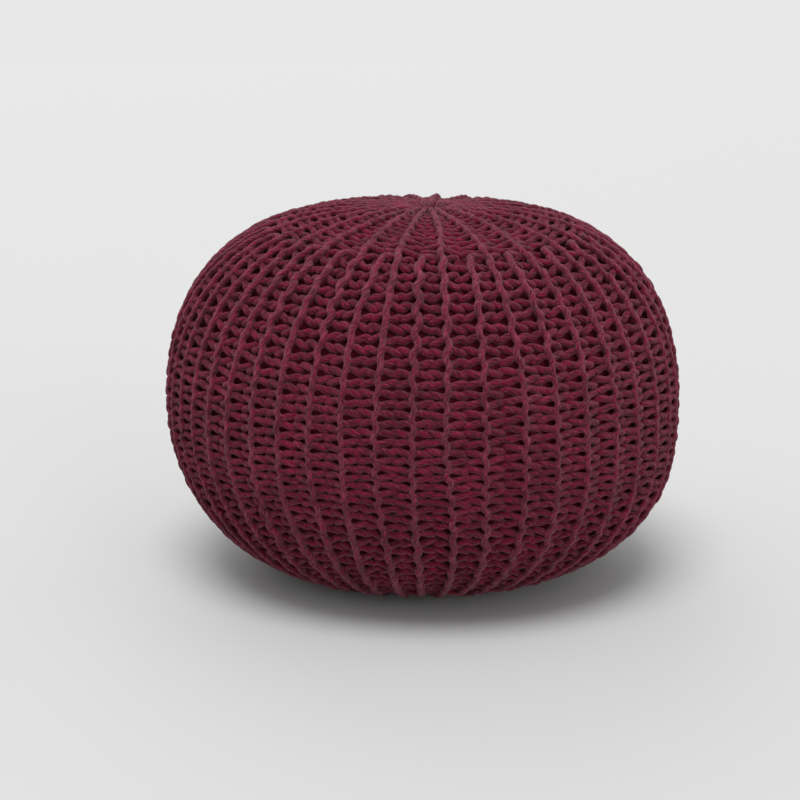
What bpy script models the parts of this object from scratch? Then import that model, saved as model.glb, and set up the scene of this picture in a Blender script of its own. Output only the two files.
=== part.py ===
"""Knitted pouf: one filled, ribbed cushion that stands on the floor.

Metres, +Z up.  The origin is the centre of the flat base, on the floor.
The cover is knitted sideways, so its rows run from the top centre to the bottom centre and show
as raised ridges.  Every second row is a short one, which turns back before it reaches the centre.
"""

import bpy
import bmesh
from math import asin, atan2, cos, hypot, pi, radians, sin
from mathutils import Vector

# ---- driving dimensions, in metres ------------------------------------------------------------
WIDTH = 0.508                # across the ridges at the widest ring
HEIGHT = 0.370               # floor to crown
EQUATOR_HEIGHT = 0.173       # floor to the widest ring
BASE_RADIUS = 0.098          # the flat patch that the pouf rests on
CROWN_SIDE_POWER = 3.0       # above 2 is a squarer shoulder, seen from above
CROWN_RISE_POWER = 2.2       # above 2 is a fuller crown, seen from the side
BELLY_SIDE_POWER = 2.9
BELLY_RISE_POWER = 2.24

# The filling has settled a little: the belly leans to +X, and the two gathered centres of the
# knitting sit off the middle of the pouf.
BELLY_LEAN = 0.005
TOP_GATHER = Vector((0.007, -0.038))
BASE_GATHER = Vector((0.003, -0.044))

# ---- the knitting -----------------------------------------------------------------------------
RIDGES = 50                  # ridges round the widest ring, long and short rows in turn
FIRST_RIDGE = radians(8)     # azimuth of a long row, from +X
SIDE_STRETCH = 0.11          # the rows lie this share wider apart at +X, and closer at -X
RIDGE_DEPTH = 0.005          # crest of a ridge over the groove beside it
RIDGE_SHARPNESS = 2.0        # power of the ridge's rounded section
SHORT_ROW_RADIUS = 0.145     # the short rows turn back this far from the gathered centre
SHORT_ROW_FADE = 0.012       # over which their ridges sink into the cover
BASE_RIM_FADE = 0.035        # over which the ridges flatten towards the base
DIMPLE_RADIUS = 0.030        # the drawn-in centre of the crown
DIMPLE_DEPTH = 0.005

# ---- the mesh ---------------------------------------------------------------------------------
POINTS_PER_RIDGE = 4
CROWN_RINGS = 11             # from the widest ring up to where the short rows end
BELLY_RINGS = 12             # from the widest ring down to the base
PROFILE_STEPS = 400          # fine steps of the outline, before it is shared out evenly
COLUMNS = RIDGES * POINTS_PER_RIDGE
CENTRE_RINGS = (             # radius from the gathered centre, and the columns to each point
    (0.127, 2),
    (0.109, 2),
    (0.091, 2),
    (0.074, 2),
    (0.058, 2),
    (0.043, 4),
    (0.030, 4),
    (0.018, 4),
    (0.008, 4),
)

YARN_COLOUR = (0.086, 0.0144, 0.0232)       # burgundy, linear
YARN_ROUGHNESS = 0.9

RADIUS = WIDTH / 2
CROWN_HEIGHT = HEIGHT - EQUATOR_HEIGHT
# The belly's own curve would run on below the floor to this depth under the widest ring.
BASE_SHARE = 1 - (BASE_RADIUS / RADIUS) ** BELLY_SIDE_POWER
BELLY_DEPTH = EQUATOR_HEIGHT / BASE_SHARE ** (1 / BELLY_RISE_POWER)


def clear_scene():
    for item in list(bpy.data.objects):
        bpy.data.objects.remove(item, do_unlink=True)


def yarn_material():
    material = bpy.data.materials.new("cotton_yarn")
    material.use_nodes = True
    shader = material.node_tree.nodes["Principled BSDF"]
    shader.inputs["Base Color"].default_value = (*YARN_COLOUR, 1.0)
    shader.inputs["Roughness"].default_value = YARN_ROUGHNESS
    shader.inputs["Metallic"].default_value = 0.0
    return material


def smooth(x):
    """0 to 1 with a soft start and end."""
    x = min(max(x, 0.0), 1.0)
    return x * x * (3 - 2 * x)


def rise(radius, depth, side_power, rise_power):
    """Distance from the widest ring's level, on a rounded curve, at a distance from the axis."""
    inside = 1 - min(radius / RADIUS, 1.0) ** side_power
    return depth * inside ** (1 / rise_power)


def crown_level(radius):
    """Height of the upper surface, with its drawn-in centre."""
    return EQUATOR_HEIGHT + rise(radius, CROWN_HEIGHT, CROWN_SIDE_POWER, CROWN_RISE_POWER)


def belly_level(radius):
    return max(EQUATOR_HEIGHT - rise(radius, BELLY_DEPTH, BELLY_SIDE_POWER, BELLY_RISE_POWER), 0.0)


def even_radii(level, inner, count):
    """Radii of count rings between the widest ring and the inner radius, evenly along the outline."""
    outline = []
    for step in range(PROFILE_STEPS + 1):
        turn = step / PROFILE_STEPS * pi / 2
        radius = inner + (RADIUS - inner) * cos(turn)
        outline.append((radius, level(radius)))
    walked = [0.0]
    for (r0, z0), (r1, z1) in zip(outline, outline[1:]):
        walked.append(walked[-1] + hypot(r1 - r0, z1 - z0))
    radii = []
    step = 0
    for ring in range(1, count + 1):
        goal = walked[-1] * ring / count
        while step < PROFILE_STEPS and walked[step] < goal:
            step += 1
        radii.append(outline[step][0])
    return radii


def section(phase):
    """Rounded section of a ridge: 1 on its crest, where phase is a whole number, and 0 between."""
    return (0.5 + 0.5 * cos(2 * pi * phase)) ** RIDGE_SHARPNESS


def ridge_height(column, radius):
    """How far the cover stands out of its grooves at a column of points."""
    phase = column / POINTS_PER_RIDGE
    outer = section(phase)
    inner = section(phase / 2)
    short_rows = smooth((radius - SHORT_ROW_RADIUS) / SHORT_ROW_FADE)
    return RIDGE_DEPTH * (short_rows * outer + (1 - short_rows) * inner)


def outward(level, radius, away):
    """Unit normal of the smooth outline at a radius, in the plane of the axis, as (out, up)."""
    step = 0.0005
    inner = max(radius - step, 0.0)
    outer = min(radius + step, RADIUS)
    run = outer - inner
    fall = level(outer) - level(inner)
    length = hypot(run, fall)
    return -fall * away / length, run * away / length


def lean(height):
    """How far the belly leans to +X at a height."""
    depth = min(max(1 - height / EQUATOR_HEIGHT, 0.0), 1.0)
    return BELLY_LEAN * sin(pi * depth ** 1.4)


def column_azimuth(column):
    even = FIRST_RIDGE + 2 * pi * column / COLUMNS
    return even + SIDE_STRETCH * sin(even)


def crown_point(column, radius):
    """A point of the upper surface.  The pattern's centre is moved to the gathered one."""
    azimuth = column_azimuth(column)
    share = 1 - (radius / RADIUS) ** 2
    x = radius * cos(azimuth) + TOP_GATHER.x * share
    y = radius * sin(azimuth) + TOP_GATHER.y * share
    distance = hypot(x, y)
    out, up = outward(crown_level, distance, 1)
    sink = RIDGE_DEPTH - ridge_height(column, radius)
    level = crown_level(distance) - sink * up
    level -= DIMPLE_DEPTH * (1 - smooth(radius / DIMPLE_RADIUS))
    shrink = 1 - sink * out / max(distance, DIMPLE_RADIUS)
    return Vector((x * shrink, y * shrink, level))


def belly_point(column, radius):
    """A point of the lower surface, on a level ring.  The columns lean to the gathered centre."""
    azimuth = column_azimuth(column)
    share = 1 - (radius / RADIUS) ** 2
    gather = BASE_GATHER.length * share / radius
    azimuth += asin(gather * sin(atan2(BASE_GATHER.y, BASE_GATHER.x) - azimuth))
    relief = smooth((radius - BASE_RADIUS) / BASE_RIM_FADE)
    out, up = outward(belly_level, radius, -1)
    sink = (RIDGE_DEPTH - ridge_height(column, radius)) * relief
    level = belly_level(radius) - sink * up
    ring = radius - sink * out
    return Vector((ring * cos(azimuth) + lean(level), ring * sin(azimuth), level))


def make_rings(bm):
    """Rings of vertices from the base to the crown, each with its column step."""
    rings = []
    for radius in reversed(even_radii(belly_level, BASE_RADIUS, BELLY_RINGS)):
        rings.append((1, [bm.verts.new(belly_point(c, radius)) for c in range(COLUMNS)]))
    rings.append((1, [bm.verts.new(crown_point(c, RADIUS)) for c in range(COLUMNS)]))
    inner_edge = SHORT_ROW_RADIUS
    for radius in even_radii(crown_level, inner_edge, CROWN_RINGS):
        rings.append((1, [bm.verts.new(crown_point(c, radius)) for c in range(COLUMNS)]))
    for radius, step in CENTRE_RINGS:
        points = [bm.verts.new(crown_point(c, radius)) for c in range(0, COLUMNS, step)]
        rings.append((step, points))
    return rings


def join_rings(bm, lower, upper):
    """Faces between two rings.  Where the upper ring has half the points, pairs share one."""
    low_step, low = lower
    high_step, high = upper
    ratio = high_step // low_step
    for k in range(len(high)):
        above = high[k]
        above_next = high[(k + 1) % len(high)]
        below = [low[(k * ratio + j) % len(low)] for j in range(ratio + 1)]
        if ratio == 1:
            bm.faces.new((below[0], below[1], above_next, above))
        else:
            bm.faces.new((below[0], below[1], above))
            bm.faces.new((below[1], above_next, above))
            bm.faces.new((below[1], below[2], above_next))


def make_pouf():
    bm = bmesh.new()
    rings = make_rings(bm)
    bm.faces.new(reversed(rings[0][1]))
    for lower, upper in zip(rings, rings[1:]):
        join_rings(bm, lower, upper)
    bm.faces.new(rings[-1][1])
    bmesh.ops.recalc_face_normals(bm, faces=bm.faces)
    mesh = bpy.data.meshes.new("knitted_pouf")
    bm.to_mesh(mesh)
    bm.free()
    mesh.shade_smooth()
    mesh.materials.append(yarn_material())
    pouf = bpy.data.objects.new("knitted_pouf", mesh)
    bpy.context.scene.collection.objects.link(pouf)
    return pouf


clear_scene()
make_pouf()
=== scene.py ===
from math import cos, hypot, pi, radians, sin

import bpy
import numpy as np
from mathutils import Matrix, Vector


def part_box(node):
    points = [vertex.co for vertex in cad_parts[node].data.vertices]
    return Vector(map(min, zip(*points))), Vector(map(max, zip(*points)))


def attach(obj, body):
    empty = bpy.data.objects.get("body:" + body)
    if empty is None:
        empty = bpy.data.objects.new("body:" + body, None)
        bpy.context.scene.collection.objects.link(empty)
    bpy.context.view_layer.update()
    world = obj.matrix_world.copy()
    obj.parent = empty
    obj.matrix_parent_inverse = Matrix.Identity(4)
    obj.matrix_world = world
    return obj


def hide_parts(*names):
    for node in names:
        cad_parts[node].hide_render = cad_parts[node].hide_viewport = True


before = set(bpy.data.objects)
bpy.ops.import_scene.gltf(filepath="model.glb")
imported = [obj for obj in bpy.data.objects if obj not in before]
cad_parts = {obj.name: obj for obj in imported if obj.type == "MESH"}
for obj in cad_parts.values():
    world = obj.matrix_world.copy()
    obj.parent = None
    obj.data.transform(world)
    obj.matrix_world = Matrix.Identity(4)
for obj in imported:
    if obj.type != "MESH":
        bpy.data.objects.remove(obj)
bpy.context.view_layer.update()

MM = 0.001

# ---- the pouf's outline, as in the solid ------------------------------------------------------
POUF_LOW, POUF_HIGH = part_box("knitted_pouf")
RADIUS = (POUF_HIGH[0] - POUF_LOW[0]) / 2
HEIGHT = POUF_HIGH[2] - POUF_LOW[2]
EQUATOR_HEIGHT = 173 * MM
BASE_RADIUS = 98 * MM        # of the flat patch that the pouf stands on
CROWN_SIDE_POWER = 3.0       # the powers of the rounded outline: 2 and 2 would be an ellipse
CROWN_RISE_POWER = 2.2
BELLY_SIDE_POWER = 2.9
BELLY_RISE_POWER = 2.24
BELLY_LEAN = 5 * MM          # the belly leans this far to +X
LEAN_POWER = 1.4             # which puts its furthest point 0.6 of the way down to the floor
TOP_GATHER = (7 * MM, -38 * MM)
BASE_GATHER = (3 * MM, -44 * MM)
DIMPLE_RADIUS = 30 * MM
DIMPLE_DEPTH = 5 * MM

# ---- the yarn and the ridges ------------------------------------------------------------------
YARN = 6.6 * MM              # thickness of the plied yarn
CREST_YARN = 5.2 * MM        # and where it is pulled tight over a ridge
TIGHT_PITCH = 8.0 * MM       # the cloth is tight where its legs lie this close together
LOOSE_PITCH = 11.0 * MM
RIDGES = 50                  # ridges round the widest ring: long and short rows in turn
RIDGE_TURN = 2 * pi / RIDGES
FIRST_RIDGE = radians(8)     # azimuth of a long ridge, before the sideways stretch
SIDE_STRETCH = 0.11          # the rows lie this share wider apart at +X, and closer at -X
PANELS = 5                   # the cover is kept in this many meshes

RIDGE_LIFT = 5.0 * MM        # heads of the loops over the middle of the cloth
RIDGE_OVERLAP = 1.0 * MM     # heads and feet of the loops reach this far past each other in front
LOOSE_OVERLAP = 0.05         # and further, by this share of the pitch, where the cloth is loose
BACK_OVERLAP = 3.6 * MM      # and this far behind, where it does not show
FRONT_LIMIT = 0.45           # but where the ridges come close, no further than these shares
BACK_LIMIT = 0.80            # of half a row's width, in front and behind
LEG_SQUEEZE = 0.95           # in front, legs of neighbouring loops touch, and are a little flattened
BACK_SWELL = 0.18            # behind, a loop spreads by this share of a stitch
LOOP_LIFT = (                # place between back and front of a loop, height in millimetres
    (-1.00, -5.0),
    (-0.85, -3.4),
    (-0.60, -1.0),
    (-0.30, 0.0),
    (0.00, 0.5),
    (0.30, 0.9),
    (0.55, 1.7),
    (0.75, 3.1),
    (0.90, 4.5),
    (1.00, 5.0),
)
LIFT_CURVE = np.polyfit(*zip(*LOOP_LIFT), deg=6)

# ---- the stitches along a row -----------------------------------------------------------------
# Along the cover, 0 is the top gather, 1 the widest ring and 2 the base gather.
GATHER_TO_RING = 326 * MM    # length of cloth from a gather to the widest ring
TOP_TURN = 0.405             # the short rows turn back here
BASE_TURN = 1.595
ROW_START = 0.050            # and the long ones here
ROW_END = 1.950
SPREAD_BEFORE = 0.025        # the long rows start to spread out this far before the short ones turn
SPREAD_AFTER = 0.020         # and are spread out fully this far past them
CAP_STITCHES = 7             # stitches of a long row over each cap
SIDE_STITCHES = 20           # and of all rows between the caps
FIRST_SHORT = CAP_STITCHES
LAST_SHORT = CAP_STITCHES + SIDE_STITCHES
LAST_LONG = 2 * CAP_STITCHES + SIDE_STITCHES
# Distance between neighbouring legs: the wider the cloth is stretched, the closer they lie.
LEG_PITCH = (                # along, millimetres
    (0.00, 9.2),
    (0.25, 8.8),
    (0.39, 8.6),
    (0.42, 12.0),
    (0.47, 11.4),
    (0.60, 10.5),
    (0.72, 10.2),
    (0.77, 9.3),
    (0.84, 8.5),
    (1.00, 8.2),
    (1.12, 7.7),
    (1.17, 8.6),
    (1.23, 10.0),
    (1.30, 11.0),
    (1.50, 11.4),
    (1.58, 12.0),
    (1.61, 8.6),
    (1.75, 8.8),
    (2.00, 9.2),
)
FLAT_REACH = 45 * MM         # this near to a gather the cloth is pulled flat:
FLAT_RELIEF = 0.70           # only this share of its depth is left between the ridges

# Loose turns of the yarn past the last head of a row: shares of the ridge spacing sideways,
# millimetres onwards, and millimetres above the middle of the cloth.
SHORT_ROW_TURN = (
    (0.06, 4.0, 4.6),
    (0.34, 6.6, 3.6),
    (0.68, 6.2, 2.2),
    (0.96, 3.5, 0.0),
    (1.12, 0.0, -4.0),
)
GATHERED_TURN = (
    (0.00, 4.5, 4.2),
    (0.00, 10.0, 1.8),
    (0.00, 15.0, -1.5),
    (0.00, 19.0, -6.0),
    (0.00, 21.5, -13.0),
)

# Hand knitting is uneven: each is the usual size of the wander or change, from stitch to stitch.
ROW_WANDER = 1.2 * MM
STITCH_SHIFT = 0.045         # as a share of a stitch
STITCH_REACH = 0.6 * MM
STITCH_RISE = 0.4 * MM
WANDER_POINTS = 16           # a ridge's wander is drawn at this many points along it
SMOOTHED_SPREAD = 2.45       # root 6: the weights 1, 2 and 1 make a spread this much wider

# ---- the filled body --------------------------------------------------------------------------
SKIN_DEPTH = 3.8 * MM        # the filling's skin lies this far under the middle of the cloth
DRAWN_REACH = 25 * MM        # and this near to a gather it is drawn in
DRAWN_DEPTH = 20 * MM        # by this much more
SKIN_TURNS = 120             # faces round the skin
SKIN_ALONGS = 72             # and from gather to gather

# ---- fineness of the meshes -------------------------------------------------------------------
OUTLINE_POINTS = 900         # of each half of an outline, before they are shared out evenly
TURNS = 400                  # lines of the cover's grid, from gather to gather
ALONGS = 240                 # points of each line on each half
NORMAL_ROUNDS = 3            # times that neighbouring normals are averaged along a line
SCALE_POINTS = 2001          # of the table that places the stitches
STITCH_STEPS = 20            # tube sections to a stitch
TURN_STEPS = 5               # and between two points of a loose turn
TUBE_SIDES = 8
END_TAPER = (0.35, 0.80)     # the last two sections of a yarn's end are thinned to these shares
STEP_LENGTH = 3 * MM         # about the length of yarn between two sections
STRIP_MARGIN = 0.03          # free edge on the flat map, as a share of a strip's width
END_RADIUS = 0.3             # the yarn's round ends on it, as a share of that width
END_STEPS = 2                # and their half height, in tube sections

# ---- the yarn's and the skin's finish ---------------------------------------------------------
PLIES = 5                    # strands twisted into the yarn
TWIST = 34 * MM              # length of yarn in which they turn once round
STRAND_WANDER = 0.35         # they stray from an even twist by up to this share of a turn
WANDER_LENGTH = 6 * MM       # and about as often as this
GROOVE_POWER = 3.0           # the higher, the narrower the grooves between round strands
GROOVE_SHADE = 0.7           # how strongly shade is painted into the grooves between the strands
FIBRE = 0.5 * MM             # width of a tuft of fibres, drawn coarser than the cotton's own
TUFT = 2.5 * MM              # and its length
TUFT_RELIEF = 1.9            # its height, where a groove's depth is 1
SLUB = 1.1 * MM              # width of a patch of fibres that took the dye unevenly
DYE_PATCH = 18 * MM          # and of the wider patches along the yarn
SLUB_SHARE = 3.0             # the narrow patches count this many times as much as the wide ones
THREAD = 0.8 * MM            # width of the skin's threads, drawn coarser than they are

# ---- floor, light and camera ------------------------------------------------------------------
FLOOR_SIZE = 60
WORLD_LIGHT = 0.8
LAMPS = (                    # name, where it shines from, spread, strength
    ("key", (-0.2, -1.0, 2.6), radians(33), 2.6),
    ("fill", (1.3, -2.0, 0.6), radians(30), 0.8),
    ("rim", (-0.5, 2.2, 1.6), radians(40), 0.6),
)
CAMERA_DISTANCE = 1.626      # from the middle of the widest ring
CAMERA_TILT = radians(12.5)  # and this far above its level
CAMERA_LENS = 73.1           # millimetres, as is the sensor's width
CAMERA_SENSOR = 36
AIM = (-22 * MM, 0, EQUATOR_HEIGHT - 4 * MM)

rng = np.random.default_rng(7)


def smooth(x):
    """Eases from 0 to 1 while x goes from 0 to 1."""
    x = np.clip(x, 0.0, 1.0)
    return x * x * (3 - 2 * x)


# ---- the cover's surface ----------------------------------------------------------------------
def arch(radius, depth, side_power, rise_power):
    """Height of a rounded outline: depth over the axis, and 0 at the widest ring."""
    inside = 1 - np.minimum(radius / RADIUS, 1.0) ** side_power
    return depth * inside ** (1 / rise_power)


def crown_level(radius):
    depth = HEIGHT - EQUATOR_HEIGHT
    return EQUATOR_HEIGHT + arch(radius, depth, CROWN_SIDE_POWER, CROWN_RISE_POWER)


# How deep the belly's outline would go, if the floor didn't cut it off at the flat patch.
BASE_SHARE = 1 - (BASE_RADIUS / RADIUS) ** BELLY_SIDE_POWER
BELLY_DEPTH = EQUATOR_HEIGHT / BASE_SHARE ** (1 / BELLY_RISE_POWER)


def belly_level(radius):
    level = EQUATOR_HEIGHT - arch(radius, BELLY_DEPTH, BELLY_SIDE_POWER, BELLY_RISE_POWER)
    return np.maximum(level, 0.0)


def slope(level, radius):
    """Steepness of an outline at a distance from the axis."""
    step = 0.3 * MM
    outer = np.minimum(radius + step, RADIUS)
    inner = np.maximum(outer - 2 * step, 0.0)
    return (level(outer) - level(inner)) / (outer - inner)


def lean(level):
    """How far the belly is shifted to +X at a height above the floor."""
    depth = np.clip(1 - level / EQUATOR_HEIGHT, 0.0, 1.0)
    return BELLY_LEAN * np.sin(pi * depth ** LEAN_POWER)


def crown_lines(azimuth):
    """Points and outward normals of the upper half, from the gather to the widest ring.

    They lie on circles whose centre moves from the gather to the axis on the way out.
    """
    radius = RADIUS * np.sin(np.linspace(0, pi / 2, OUTLINE_POINTS))[None, :]
    share = 1 - (radius / RADIUS) ** 2
    x = radius * np.cos(azimuth) + TOP_GATHER[0] * share
    y = radius * np.sin(azimuth) + TOP_GATHER[1] * share
    reach = np.hypot(x, y)
    steep = slope(crown_level, reach)
    sunk = DIMPLE_DEPTH * (1 - smooth(radius / DIMPLE_RADIUS))
    normal = np.stack([-steep * x / reach, -steep * y / reach, np.ones_like(x)], -1)
    return np.stack([x, y, crown_level(reach) - sunk], -1), normal


def belly_lines(azimuth):
    """The same for the lower half, from the widest ring to the gather on the base.

    The belly stays round, so each ring is shared out as seen from a centre that moves to the
    gather on the way in.
    """
    turn = np.linspace(pi / 2, 0, OUTLINE_POINTS)
    radius = (BASE_RADIUS + (RADIUS - BASE_RADIUS) * np.sin(turn))[None, :]
    share = 1 - (radius / RADIUS) ** 2
    gather = hypot(*BASE_GATHER) * share / radius
    heading = np.arctan2(BASE_GATHER[1], BASE_GATHER[0])
    shifted = azimuth + np.arcsin(gather * np.sin(heading - azimuth))
    level = belly_level(radius) + 0 * azimuth
    steep = slope(belly_level, radius) + 0 * azimuth
    across, ahead = np.cos(shifted), np.sin(shifted)
    side = np.stack([radius * across + lean(level), radius * ahead, level], -1)
    normal = np.stack([steep * across, steep * ahead, -np.ones_like(steep)], -1)

    centre = np.array([*BASE_GATHER, 0.0]) * (1 - (BASE_RADIUS / RADIUS) ** 2)
    inwards = np.linspace(0, 1, OUTLINE_POINTS // 3)[1:][None, :, None]
    flat = side[:, -1:] + inwards * (centre - side[:, -1:])
    down = np.broadcast_to(np.array([0.0, 0.0, -1.0]), flat.shape)
    return np.concatenate([side, flat], 1), np.concatenate([normal, down], 1)


def even_lines(points, normals):
    """Shares each line's points out evenly along its length."""
    steps = np.linalg.norm(np.diff(points, axis=1), axis=-1)
    walked = np.concatenate([np.zeros((len(points), 1)), np.cumsum(steps, 1)], 1)
    shares = np.linspace(0, 1, ALONGS + 1)
    even = np.empty((len(points), ALONGS + 1, 6))
    for line, (distance, place, normal) in enumerate(zip(walked, points, normals)):
        goal = shares * distance[-1]
        for k in range(3):
            even[line, :, k] = np.interp(goal, distance, place[:, k])
            even[line, :, 3 + k] = np.interp(goal, distance, normal[:, k])
    return even


def make_cover_grid():
    """Places, normals and girth of the middle of the cloth, by turn and along.

    The girth is the length of cloth, round the pouf, to a radian of turn.
    """
    turn = np.arange(TURNS) / TURNS * 2 * pi
    azimuth = (FIRST_RIDGE + turn + SIDE_STRETCH * np.sin(FIRST_RIDGE + turn))[:, None]
    upper = even_lines(*crown_lines(azimuth))
    lower = even_lines(*belly_lines(azimuth))
    grid = np.concatenate([upper, lower[:, 1:]], 1)
    place, normal = grid[..., :3], grid[..., 3:]
    for _ in range(NORMAL_ROUNDS):
        normal[:, 1:-1] = (normal[:, :-2] + normal[:, 1:-1] + normal[:, 2:]) / 3
    normal /= np.linalg.norm(normal, axis=-1, keepdims=True)
    place -= normal * (RIDGE_LIFT + CREST_YARN / 2)
    apart = np.linalg.norm(np.roll(place, -1, 0) - np.roll(place, 1, 0), axis=-1)
    girth = apart * TURNS / (4 * pi)
    return np.concatenate([place, normal, girth[..., None]], -1)


cover_grid = make_cover_grid()


def on_cover(turn, along):
    """Place, normal and girth at turns (radians) and alongs, between the grid's points."""
    u = turn / (2 * pi) * TURNS
    v = np.clip(along, 0, 2) * ALONGS
    i, j = np.floor(u).astype(int), np.minimum(np.floor(v).astype(int), 2 * ALONGS - 1)
    p, q = (u - i)[..., None], (v - j)[..., None]
    i0, i1 = i % TURNS, (i + 1) % TURNS
    low = cover_grid[i0, j] * (1 - q) + cover_grid[i0, j + 1] * q
    high = cover_grid[i1, j] * (1 - q) + cover_grid[i1, j + 1] * q
    mixed = low * (1 - p) + high * p
    return mixed[..., :3], mixed[..., 3:6], mixed[..., 6]


def gather_distance(along):
    """Length of cloth to the nearer gather."""
    return np.minimum(along, 2 - along) * GATHER_TO_RING


# ---- stitches along a row ---------------------------------------------------------------------
def leg_pitch(along):
    """Distance between neighbouring legs, in millimetres."""
    return np.interp(along, *zip(*LEG_PITCH))


def stitch_scale():
    """Tables that turn a count of stitches from the top into a place along the cover."""
    along = np.linspace(0, 2, SCALE_POINTS)
    count = np.concatenate([[0], np.cumsum(1 / leg_pitch(along)[1:])])
    marks = (
        (ROW_START, 0),
        (TOP_TURN, FIRST_SHORT),
        (BASE_TURN, LAST_SHORT),
        (ROW_END, LAST_LONG),
    )
    known = np.interp([m[0] for m in marks], along, count)
    stitches = np.interp(count, known, [m[1] for m in marks])
    inside = (along >= ROW_START) & (along <= ROW_END)
    return stitches[inside], along[inside]


STITCHES, ALONG_OF_STITCH = stitch_scale()


def widening(along):
    """0 where all rows run side by side, 1 in the caps, where the long ones spread out."""
    length = SPREAD_BEFORE + SPREAD_AFTER
    top = 1 - smooth((along - TOP_TURN + SPREAD_AFTER) / length)
    base = smooth((along - BASE_TURN + SPREAD_BEFORE) / length)
    return np.maximum(top, base)


def relief(along):
    """How deep the cloth lies between its ridges, as a share of its usual depth."""
    return FLAT_RELIEF + (1 - FLAT_RELIEF) * smooth(gather_distance(along) / FLAT_REACH - 1)


def uneven(size, count):
    """Seeded changes of this usual size, each smoothed with its neighbours."""
    values = rng.normal(0, size, count + 2)
    return (values[:-2] + 2 * values[1:-1] + values[2:]) / SMOOTHED_SPREAD


def wandered(along, wander):
    """How far a ridge has wandered sideways, from its points between the two gathers."""
    return np.interp(along, np.linspace(0, 2, len(wander)), wander)


def row_path(ridge, side, stitches, wander):
    """The yarn's path through one row: places, the cover's normals, heights and tightness.

    side is -1 for the row whose heads make the ridge, and 1 for the next row, whose feet fill
    it up.  stitches runs along the row, with a foot at each whole number and a head between.
    """
    marks = np.arange(LAST_LONG + 2) - 0.5
    shift, reach, hop = (
        np.interp(stitches, marks, uneven(size, len(marks)))
        for size in (STITCH_SHIFT, STITCH_REACH, STITCH_RISE)
    )
    phase = (stitches - 0.5) * 2 * pi
    forward = -side * np.cos(phase)
    pitch = leg_pitch(np.interp(stitches, STITCHES, ALONG_OF_STITCH)) * MM

    # A leg would pass the front an eighth of a stitch from its head.  It swings out from there to
    # touch the next loop's leg, midway between the heads.  A stitch is two pitches long.
    front_swell = 1 / 2 - 1 / 8 - LEG_SQUEEZE * YARN / 2 / (2 * pitch)
    swell = (1 + forward) / 2 * front_swell + (1 - forward) / 2 * BACK_SWELL
    placed = stitches + swell * np.sin(2 * phase) + shift
    along = np.interp(np.clip(placed, 0, LAST_LONG), STITCHES, ALONG_OF_STITCH)

    spread = widening(along) if ridge % 2 == 0 else 0 * along
    half_row = RIDGE_TURN / 4 * (1 + spread)
    middle = ridge * RIDGE_TURN + side * half_row
    girth = on_cover(middle, along)[2]
    loose = LOOSE_OVERLAP * (pitch - TIGHT_PITCH)
    front = np.minimum((RIDGE_OVERLAP + loose + reach) / girth, FRONT_LIMIT * half_row)
    back = np.minimum(BACK_OVERLAP / girth, BACK_LIMIT * half_row)
    turn = middle + wandered(along, wander) / girth - side * (front - back) / 2
    turn = turn + (half_row + (front + back) / 2) * np.cos(phase)

    lift = np.polyval(LIFT_CURVE, forward) * MM
    lift = RIDGE_LIFT - (RIDGE_LIFT - lift) * relief(along) + hop
    place, normal, _ = on_cover(turn, along)
    tight = 1 - smooth((pitch - TIGHT_PITCH) / (LOOSE_PITCH - TIGHT_PITCH))
    return np.column_stack([place + normal * lift[:, None], normal, lift, tight])


def loose_turn(ridge, along, heading, way, drift):
    """Points of the yarn past the end of a ridge; heading is -1 upwards and 1 downwards."""
    shares, onwards, lifts = (np.array(column) for column in zip(*way))
    along = along + heading * onwards * MM / GATHER_TO_RING
    turn = (ridge - heading * shares) * RIDGE_TURN
    girth = on_cover(turn, along)[2]
    place, normal, _ = on_cover(turn + drift / girth, along)
    lift = lifts * MM
    return np.column_stack([place + normal * lift[:, None], normal, lift, 0 * lift])


def rounded(points, steps):
    """A smooth curve through the points, with this many steps between two."""
    before = 2 * points[:1] - points[1:2]
    after = 2 * points[-1:] - points[-2:-1]
    points = np.concatenate([before, points, after])
    t = (np.arange(steps) / steps)[:, None, None]
    a, b, c, d = points[:-3], points[1:-2], points[2:-1], points[3:]
    curve = b + (c - a) * t / 2 + (a - 2.5 * b + 2 * c - d / 2) * t ** 2
    curve = curve + (1.5 * b - a / 2 - 1.5 * c + d / 2) * t ** 3
    in_order = curve.transpose(1, 0, 2).reshape(-1, points.shape[1])
    return np.concatenate([in_order, points[-2:-1]])


def with_turns(ridge, path, ends, way, wander):
    """The row of heads with the yarn's loose turns added past its first and last stitch."""
    drifts = wandered(ends, wander)
    before = loose_turn(ridge, ends[0], -1, way, drifts[0])
    after = loose_turn(ridge, ends[1], 1, way, drifts[1])
    before = rounded(np.concatenate([before[::-1], path[:1]]), TURN_STEPS)[:-1]
    after = rounded(np.concatenate([path[-1:], after]), TURN_STEPS)[1:]
    return np.concatenate([before, path, after])


# ---- tubes ------------------------------------------------------------------------------------
def tube(row):
    """Rings of points round a row's path, how far each stands out, and the yarn's length so far."""
    path, normal, lift, tight = row[:, :3], row[:, 3:6], row[:, 6], row[:, 7]
    ahead = np.gradient(path, axis=0)
    ahead /= np.linalg.norm(ahead, axis=1, keepdims=True)
    up = normal - ahead * (normal * ahead).sum(1, keepdims=True)
    up /= np.linalg.norm(up, axis=1, keepdims=True)
    across = np.cross(ahead, up)
    angle = np.arange(TUBE_SIDES) / TUBE_SIDES * 2 * pi
    ring = up[:, None] * np.cos(angle)[:, None] + across[:, None] * np.sin(angle)[:, None]
    run = np.concatenate([[0], np.cumsum(np.linalg.norm(np.diff(path, axis=0), axis=1))])
    thickness = YARN - (YARN - CREST_YARN) * tight * np.clip(lift / RIDGE_LIFT, 0, 1) ** 2
    for place, share in enumerate(END_TAPER):
        thickness[[place, -1 - place]] *= share
    raised = lift[:, None] + thickness[:, None] / 2 * np.cos(angle)
    return path[:, None] + ring * thickness[:, None, None] / 2, raised, run


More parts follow.
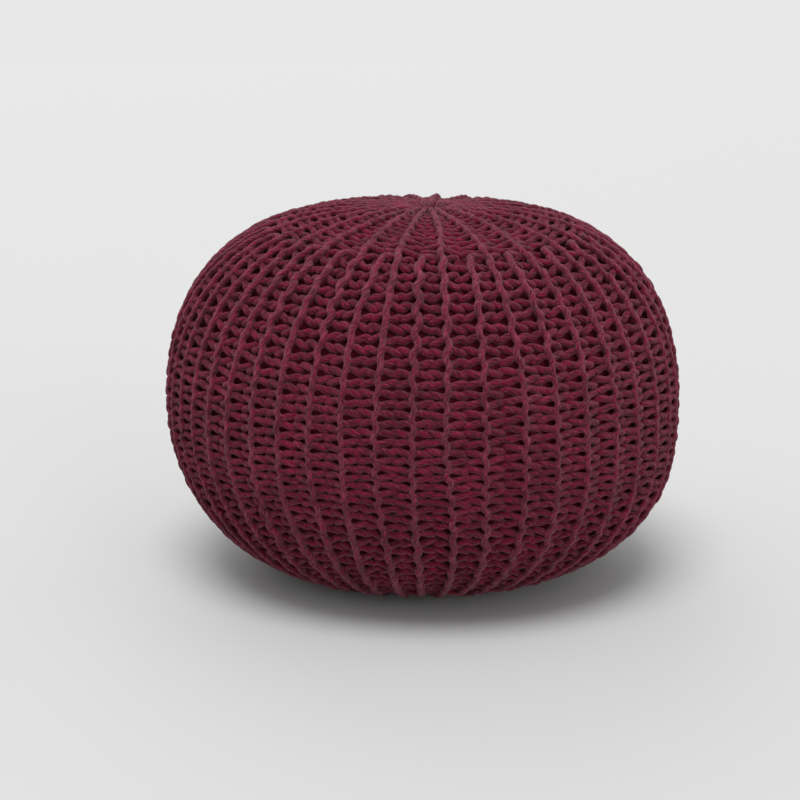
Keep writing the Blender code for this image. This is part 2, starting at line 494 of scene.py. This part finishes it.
def tube_faces(rings, first):
    """Corner indices of the quads between rings."""
    row = np.arange(rings - 1)[:, None] * TUBE_SIDES
    side = np.arange(TUBE_SIDES)[None, :]
    beside = (side + 1) % TUBE_SIDES
    quads = np.stack([row + side, row + beside, row + TUBE_SIDES + beside, row + TUBE_SIDES + side], -1)
    return quads.reshape(-1, 4) + first


def laid_out(steps, ends):
    """Flat places of all corners, for baking: the tubes side by side as strips, then their ends."""
    strips = int(np.ceil(np.sqrt(steps * STEP_LENGTH / (pi * YARN)))) + 1
    length = int(np.ceil(steps / (strips - 1)))
    strip, place = np.divmod(np.arange(steps), length)
    strip = np.repeat(strip, TUBE_SIDES)
    place = np.repeat(place, TUBE_SIDES)
    width = 1 - 2 * STRIP_MARGIN
    left = strip + STRIP_MARGIN + width * np.tile(np.arange(TUBE_SIDES), steps) / TUBE_SIDES
    right = left + width / TUBE_SIDES
    u = np.stack([left, right, right, left], -1).ravel() / strips
    v = np.stack([place, place, place + 1, place + 1], -1).ravel() / length
    angle = np.tile(np.arange(TUBE_SIDES) / TUBE_SIDES * 2 * pi, ends)
    middle = np.repeat((np.arange(ends) + 0.5) / ends, TUBE_SIDES)
    end_u = (strips - 0.5 + END_RADIUS * np.cos(angle)) / strips
    end_v = middle + END_STEPS * np.sin(angle) / length
    return np.stack([np.concatenate([u, end_u]), np.concatenate([v, end_v])], -1)


def mesh_of_faces(name, points, corners, sizes):
    """A smooth mesh from the faces' corners in one row, and each face's number of corners."""
    starts = np.concatenate([[0], np.cumsum(sizes)[:-1]])
    mesh = bpy.data.meshes.new(name)
    mesh.vertices.add(len(points))
    mesh.vertices.foreach_set("co", points.astype(np.float32).ravel())
    mesh.loops.add(len(corners))
    mesh.loops.foreach_set("vertex_index", corners.astype(np.int32))
    mesh.polygons.add(len(sizes))
    mesh.polygons.foreach_set("loop_start", starts.astype(np.int32))
    mesh.polygons.foreach_set("use_smooth", np.ones(len(sizes), bool))
    mesh.update()
    return mesh


def add_map(mesh, name, places):
    """Gives each corner its place on a map; corners left over at the end stay at 0."""
    uv = np.zeros((len(mesh.loops), 2), np.float32)
    uv[: len(places)] = places
    mesh.uv_layers.new(name=name).uv.foreach_set("vector", uv.ravel())


def joined_tubes(name, tubes):
    """One mesh of many tubes.  Its map runs round the yarn in u and along it, in metres, in v."""
    points, heights, quads, ends, us, vs = [], [], [], [], [], []
    side = np.arange(TUBE_SIDES)
    first = 0
    for rings, raised, run in tubes:
        count = len(rings)
        points.append(rings.reshape(-1, 3))
        heights.append(raised.ravel() / RIDGE_LIFT)
        quads.append(tube_faces(count, first))
        ends.append(first + side[::-1])
        ends.append(first + (count - 1) * TUBE_SIDES + side)
        u = np.stack([side, side + 1, side + 1, side], -1) / TUBE_SIDES
        us.append(np.tile(u, (count - 1, 1)))
        v = np.stack([run[:-1], run[:-1], run[1:], run[1:]], -1)
        vs.append(np.repeat(v, TUBE_SIDES, axis=0))
        first += count * TUBE_SIDES
    points, quads, ends = np.concatenate(points), np.concatenate(quads), np.stack(ends)
    corners = np.concatenate([quads.ravel(), ends.ravel()])
    sizes = np.concatenate([np.full(len(quads), 4), np.full(len(ends), TUBE_SIDES)])
    mesh = mesh_of_faces(name, points, corners, sizes)
    yarn_run = np.stack([np.concatenate(us).ravel(), np.concatenate(vs).ravel()], -1)
    add_map(mesh, "yarn_run", yarn_run)
    add_map(mesh, "OFBake", laid_out(len(quads) // TUBE_SIDES, len(ends)))
    raised = mesh.attributes.new("raised", "FLOAT", "POINT")
    raised.data.foreach_set("value", np.concatenate(heights).astype(np.float32))
    mesh.validate()
    return mesh


# ---- pieces -----------------------------------------------------------------------------------
def add_piece(mesh, material):
    """Puts a mesh in the scene as a dressed piece of the pouf."""
    piece = bpy.data.objects.new(mesh.name, mesh)
    bpy.context.scene.collection.objects.link(piece)
    piece.data.materials.append(material)
    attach(piece, "root")
    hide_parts("knitted_pouf")
    return piece


def ridge_tubes(ridge):
    """The two rows of a ridge: the heads of one in front, and the feet of the next."""
    long = ridge % 2 == 0
    first, last = (0, LAST_LONG) if long else (FIRST_SHORT, LAST_SHORT)
    wander = uneven(ROW_WANDER, WANDER_POINTS)
    steps = (last - first - 1) * STITCH_STEPS
    heads = first + 0.5 + np.arange(steps + 1) / STITCH_STEPS
    row = row_path(ridge, -1, heads, wander)
    ends = np.interp([heads[0], heads[-1]], STITCHES, ALONG_OF_STITCH)
    way = GATHERED_TURN if long else SHORT_ROW_TURN
    row = with_turns(ridge, row, ends, way, wander)

    # Feet start half a stitch before the heads, and in a short row a quarter, low in the cloth.
    left_out = 0 if long else STITCH_STEPS // 4
    feet = first + np.arange(left_out, steps + STITCH_STEPS - left_out + 1) / STITCH_STEPS
    return tube(row), tube(row_path(ridge, 1, feet, wander))


def make_panel(number, material):
    """A fifth of the cover."""
    tubes = []
    for ridge in range(number * RIDGES // PANELS, (number + 1) * RIDGES // PANELS):
        tubes.extend(ridge_tubes(ridge))
    add_piece(joined_tubes(f"knitted_panel_{number + 1}", tubes), material)


def make_filled_body(material):
    """The firm filling in its dark skin, just under the stitches."""
    rows = SKIN_ALONGS - 1
    turn = np.arange(SKIN_TURNS)[:, None] / SKIN_TURNS * 2 * pi + np.zeros((1, rows))
    along = np.arange(1, SKIN_ALONGS)[None, :] / SKIN_ALONGS * 2 + 0 * turn
    place, normal, _ = on_cover(turn, along)
    depth = SKIN_DEPTH + DRAWN_DEPTH * (1 - smooth(gather_distance(along) / DRAWN_REACH))
    place = place - normal * depth[..., None]
    top = place[:, 0].mean(0)
    base = place[:, -1].mean(0)
    points = np.concatenate([place.reshape(-1, 3), top[None], base[None]])

    i = np.arange(SKIN_TURNS)[:, None] * rows
    k = np.roll(i, -1, 0)
    j = np.arange(rows - 1)[None, :]
    quads = np.stack([i + j, i + j + 1, k + j + 1, k + j], -1).reshape(-1, 4)
    i, k = i[:, 0], k[:, 0]
    top_fan = np.stack([i, k, np.full(SKIN_TURNS, len(points) - 2)], -1)
    base_fan = np.stack([k + rows - 1, i + rows - 1, np.full(SKIN_TURNS, len(points) - 1)], -1)
    corners = np.concatenate([quads.ravel(), top_fan.ravel(), base_fan.ravel()])
    sizes = np.concatenate([np.full(len(quads), 4), np.full(2 * SKIN_TURNS, 3)])
    mesh = mesh_of_faces("filled_body", points, corners, sizes)
    mesh.validate()
    body = add_piece(mesh, material)


# ---- materials --------------------------------------------------------------------------------
def colour(hex_code):
    """An sRGB hex value as linear red, green, blue and alpha."""
    parts = [int(hex_code[k:k + 2], 16) / 255 for k in (1, 3, 5)]
    linear = [p / 12.92 if p <= 0.04045 else ((p + 0.055) / 1.055) ** 2.4 for p in parts]
    return (*linear, 1.0)


def new_material(name):
    material = bpy.data.materials.new(name)
    material.use_nodes = True
    tree = material.node_tree
    shader = tree.nodes["Principled BSDF"]
    return material, tree, shader


def node(tree, kind, values=None, links=None):
    """Adds a node, sets its values by name or number, and links inputs from (node, output) pairs."""
    added = tree.nodes.new(kind)
    for name, value in (values or {}).items():
        if isinstance(name, int) or name in added.inputs:
            added.inputs[name].default_value = value
        else:
            setattr(added, name, value)
    for name, (source, output) in (links or {}).items():
        tree.links.new(source.outputs[output], added.inputs[name])
    return added


def cotton_yarn():
    """Plied cotton yarn, dyed burgundy: dull and slightly hairy, with a painted highlight, chalky and
    pale, where it stands out most, and painted shade, deep red, in its grooves and low in the cloth; five
    soft strands wind round it, and tufts of fibre lie along them."""
    material, tree, shader = new_material("plied_cotton_yarn_burgundy")
    place = node(tree, "ShaderNodeTexCoord")
    run = node(tree, "ShaderNodeUVMap", {"uv_map": "yarn_run"})
    parts = node(tree, "ShaderNodeSeparateXYZ", {}, {"Vector": (run, "UV")})
    turned = node(tree, "ShaderNodeMath", {"operation": "DIVIDE", 1: TWIST}, {0: (parts, "Y")})
    winding = node(tree, "ShaderNodeMath", {"operation": "SUBTRACT"}, {0: (parts, "X"), 1: (turned, 0)})

    # The grooves between the strands, which are loosely and unevenly twisted.
    stray = node(tree, "ShaderNodeTexNoise", {"Scale": 1 / WANDER_LENGTH, "Detail": 1.0},
                 {"Vector": (place, "Object")})
    uneven_winding = node(tree, "ShaderNodeMath", {"operation": "MULTIPLY_ADD", 1: STRAND_WANDER},
                          {0: (stray, "Fac"), 2: (winding, 0)})
    strands = node(tree, "ShaderNodeMath", {"operation": "MULTIPLY", 1: PLIES}, {0: (uneven_winding, 0)})
    strand = node(tree, "ShaderNodeMath", {"operation": "FRACT"}, {0: (strands, 0)})
    offset = node(tree, "ShaderNodeMath", {"operation": "MULTIPLY_ADD", 1: 2.0, 2: -1.0}, {0: (strand, 0)})
    aside = node(tree, "ShaderNodeMath", {"operation": "ABSOLUTE"}, {0: (offset, 0)})
    groove = node(tree, "ShaderNodeMath", {"operation": "POWER", 1: GROOVE_POWER}, {0: (aside, 0)})

    # Tufts and slubs wind round the yarn with its strands.
    angle = node(tree, "ShaderNodeMath", {"operation": "MULTIPLY", 1: 2 * pi}, {0: (winding, 0)})
    cosine = node(tree, "ShaderNodeMath", {"operation": "COSINE"}, {0: (angle, 0)})
    sine = node(tree, "ShaderNodeMath", {"operation": "SINE"}, {0: (angle, 0)})
    helix = node(tree, "ShaderNodeCombineXYZ", {}, {"X": (cosine, 0), "Y": (sine, 0), "Z": (parts, "Y")})
    around = YARN / 2 / FIBRE
    fibres = node(tree, "ShaderNodeVectorMath",
                  {"operation": "MULTIPLY", 1: (around, around, 1 / TUFT)}, {0: (helix, 0)})
    tufts = node(tree, "ShaderNodeTexNoise", {"Scale": 1.0, "Detail": 3.0, "Roughness": 0.65},
                 {"Vector": (fibres, 0)})
    slubs = node(tree, "ShaderNodeTexNoise", {"Scale": FIBRE / SLUB, "Detail": 2.0},
                 {"Vector": (fibres, 0)})
    dye = node(tree, "ShaderNodeTexNoise", {"Scale": 1 / DYE_PATCH, "Detail": 2.0},
               {"Vector": (place, "Object")})

    # The yarn's colour, from its tufts, with painted shade darker in the grooves and a painted highlight
    # paler where the yarn stands out most.
    shade = node(tree, "ShaderNodeValToRGB", {}, {"Fac": (tufts, "Fac")})
    shade.color_ramp.elements[0].position = 0.3
    shade.color_ramp.elements[0].color = colour("#3C0A1A")
    shade.color_ramp.elements[1].position = 0.72
    shade.color_ramp.elements[1].color = colour("#792B3F")
    # Painted shade: the grooves between the strands are multiplied darker.
    depth = node(tree, "ShaderNodeMath", {"operation": "MULTIPLY", 1: GROOVE_SHADE}, {0: (groove, 0)})
    deeper = node(tree, "ShaderNodeMix",
                  {"data_type": "RGBA", "blend_type": "MULTIPLY", 7: colour("#8E5A68")},
                  {0: (depth, 0), 6: (shade, "Color")})
    raised = node(tree, "ShaderNodeAttribute", {"attribute_name": "raised"})
    # Painted highlight: where the yarn stands out most, on the crests, its colour is mixed toward a pale
    # pink.
    painted_crest_highlight = node(tree, "ShaderNodeMapRange", {"From Min": 1.0, "From Max": 1.6, "To Max": 0.10},
                  {"Value": (raised, "Fac")})
    crest_highlighted = node(tree, "ShaderNodeMix", {"data_type": "RGBA", 7: colour("#A0526A")},
                  {0: (painted_crest_highlight, 0), 6: (deeper, 2)})

    # Painted shade: the yarn lower in the cloth is made richer, more saturated, as red light bounced
    # between the yarns makes it in the shade; the dye is also uneven in narrow and in wide patches.
    painted_recess_saturation = node(tree, "ShaderNodeMapRange",
                {"From Min": -0.6, "From Max": 1.2, "To Min": 1.25, "To Max": 1.01},
                {"Value": (raised, "Fac")})
    tints = node(tree, "ShaderNodeSeparateColor", {}, {"Color": (slubs, "Color")})
    tinted = node(tree, "ShaderNodeMapRange",
                  {"From Min": 0.35, "From Max": 0.65, "To Min": 0.9, "To Max": 1.18},
                  {"Value": (tints, "Green")})
    saturation_painted_and_dyed = node(tree, "ShaderNodeMath", {"operation": "MULTIPLY"}, {0: (painted_recess_saturation, 0), 1: (tinted, 0)})
    patches = node(tree, "ShaderNodeMath", {"operation": "MULTIPLY_ADD", 1: SLUB_SHARE},
                   {0: (slubs, "Fac"), 2: (dye, "Fac")})
    strength = node(tree, "ShaderNodeMapRange",
                    {"From Min": 1.6, "From Max": 2.5, "To Min": 0.40, "To Max": 1.48},
                    {"Value": (patches, 0)})
    # The colour takes the painted highlight, the painted shade and the uneven dye together.
    dyed = node(tree, "ShaderNodeHueSaturation", {},
                {"Color": (crest_highlighted, 2), "Saturation": (saturation_painted_and_dyed, 0), "Value": (strength, 0)})
    tree.links.new(dyed.outputs["Color"], shader.inputs["Base Color"])

    # The tufts stand up and the grooves lie deeper.
    height = node(tree, "ShaderNodeMath", {"operation": "MULTIPLY", 1: TUFT_RELIEF}, {0: (tufts, "Fac")})
    grooved = node(tree, "ShaderNodeMath", {"operation": "SUBTRACT"}, {0: (height, 0), 1: (groove, 0)})
    bump = node(tree, "ShaderNodeBump", {"Strength": 0.9, "Distance": 0.5 * MM},
                {"Height": (grooved, 0)})
    tree.links.new(bump.outputs["Normal"], shader.inputs["Normal"])
    shader.inputs["Roughness"].default_value = 0.92
    shader.inputs["Specular IOR Level"].default_value = 0.15
    shader.inputs["Sheen Weight"].default_value = 0.15
    shader.inputs["Sheen Roughness"].default_value = 0.5
    shader.inputs["Sheen Tint"].default_value = colour("#F0C8CE")
    return material


def inner_skin():
    """The filling's cotton skin behind the stitches, dyed like the yarn: dull and dark in the
    gaps, with threads that took the dye a little unevenly."""
    material, tree, shader = new_material("woven_cotton_skin_burgundy")
    place = node(tree, "ShaderNodeTexCoord")
    threads = node(tree, "ShaderNodeTexNoise", {"Scale": 1 / THREAD, "Detail": 2.0},
                   {"Vector": (place, "Object")})
    shade = node(tree, "ShaderNodeValToRGB", {}, {"Fac": (threads, "Fac")})
    shade.color_ramp.elements[0].position = 0.35
    shade.color_ramp.elements[0].color = colour("#500F1E")
    shade.color_ramp.elements[1].position = 0.65
    shade.color_ramp.elements[1].color = colour("#66172A")
    tree.links.new(shade.outputs["Color"], shader.inputs["Base Color"])
    bump = node(tree, "ShaderNodeBump", {"Strength": 0.6, "Distance": 0.3 * MM},
                {"Height": (threads, "Fac")})
    tree.links.new(bump.outputs["Normal"], shader.inputs["Normal"])
    shader.inputs["Roughness"].default_value = 0.95
    shader.inputs["Specular IOR Level"].default_value = 0.1
    return material


# ---- studio -----------------------------------------------------------------------------------
def make_floor():
    """A plain painted floor: matt, pale and without a pattern."""
    bpy.ops.mesh.primitive_plane_add(size=FLOOR_SIZE, location=(0, 0, 0))
    floor = bpy.context.object
    floor.name = "studio_floor"
    material, _, shader = new_material("matt_studio_paint")
    shader.inputs["Base Color"].default_value = colour("#B0B0B0")
    shader.inputs["Roughness"].default_value = 0.9
    floor.data.materials.append(material)


def add_lamp(name, place, spread, strength):
    """A wide soft lamp so far off that it lights the whole floor alike."""
    lamp = bpy.data.lights.new(name, "SUN")
    lamp.angle = spread
    lamp.energy = strength
    holder = bpy.data.objects.new(name, lamp)
    holder.location = place
    holder.rotation_euler = (-Vector(place)).to_track_quat("-Z", "Y").to_euler()
    bpy.context.scene.collection.objects.link(holder)


def light_the_studio():
    world = bpy.data.worlds.new("studio")
    world.use_nodes = True
    background = world.node_tree.nodes["Background"]
    background.inputs["Color"].default_value = (1, 1, 1, 1)
    background.inputs["Strength"].default_value = WORLD_LIGHT
    bpy.context.scene.world = world
    bpy.context.scene.view_settings.view_transform = "Standard"
    for lamp in LAMPS:
        add_lamp(*lamp)


def add_camera():
    """A long lens in front of the pouf, a little above it."""
    camera = bpy.data.cameras.new("camera")
    camera.lens = CAMERA_LENS
    camera.sensor_width = CAMERA_SENSOR
    away = CAMERA_DISTANCE * cos(CAMERA_TILT)
    above = CAMERA_DISTANCE * sin(CAMERA_TILT)
    eye = Vector((0, -away, EQUATOR_HEIGHT + above))
    holder = bpy.data.objects.new("camera", camera)
    holder.location = eye
    holder.rotation_euler = (Vector(AIM) - eye).to_track_quat("-Z", "Y").to_euler()
    bpy.context.scene.collection.objects.link(holder)
    bpy.context.scene.camera = holder


bpy.ops.object.select_all(action="DESELECT")
yarn = cotton_yarn()
for panel in range(PANELS):
    make_panel(panel, yarn)
make_filled_body(inner_skin())
make_floor()
light_the_studio()
add_camera()
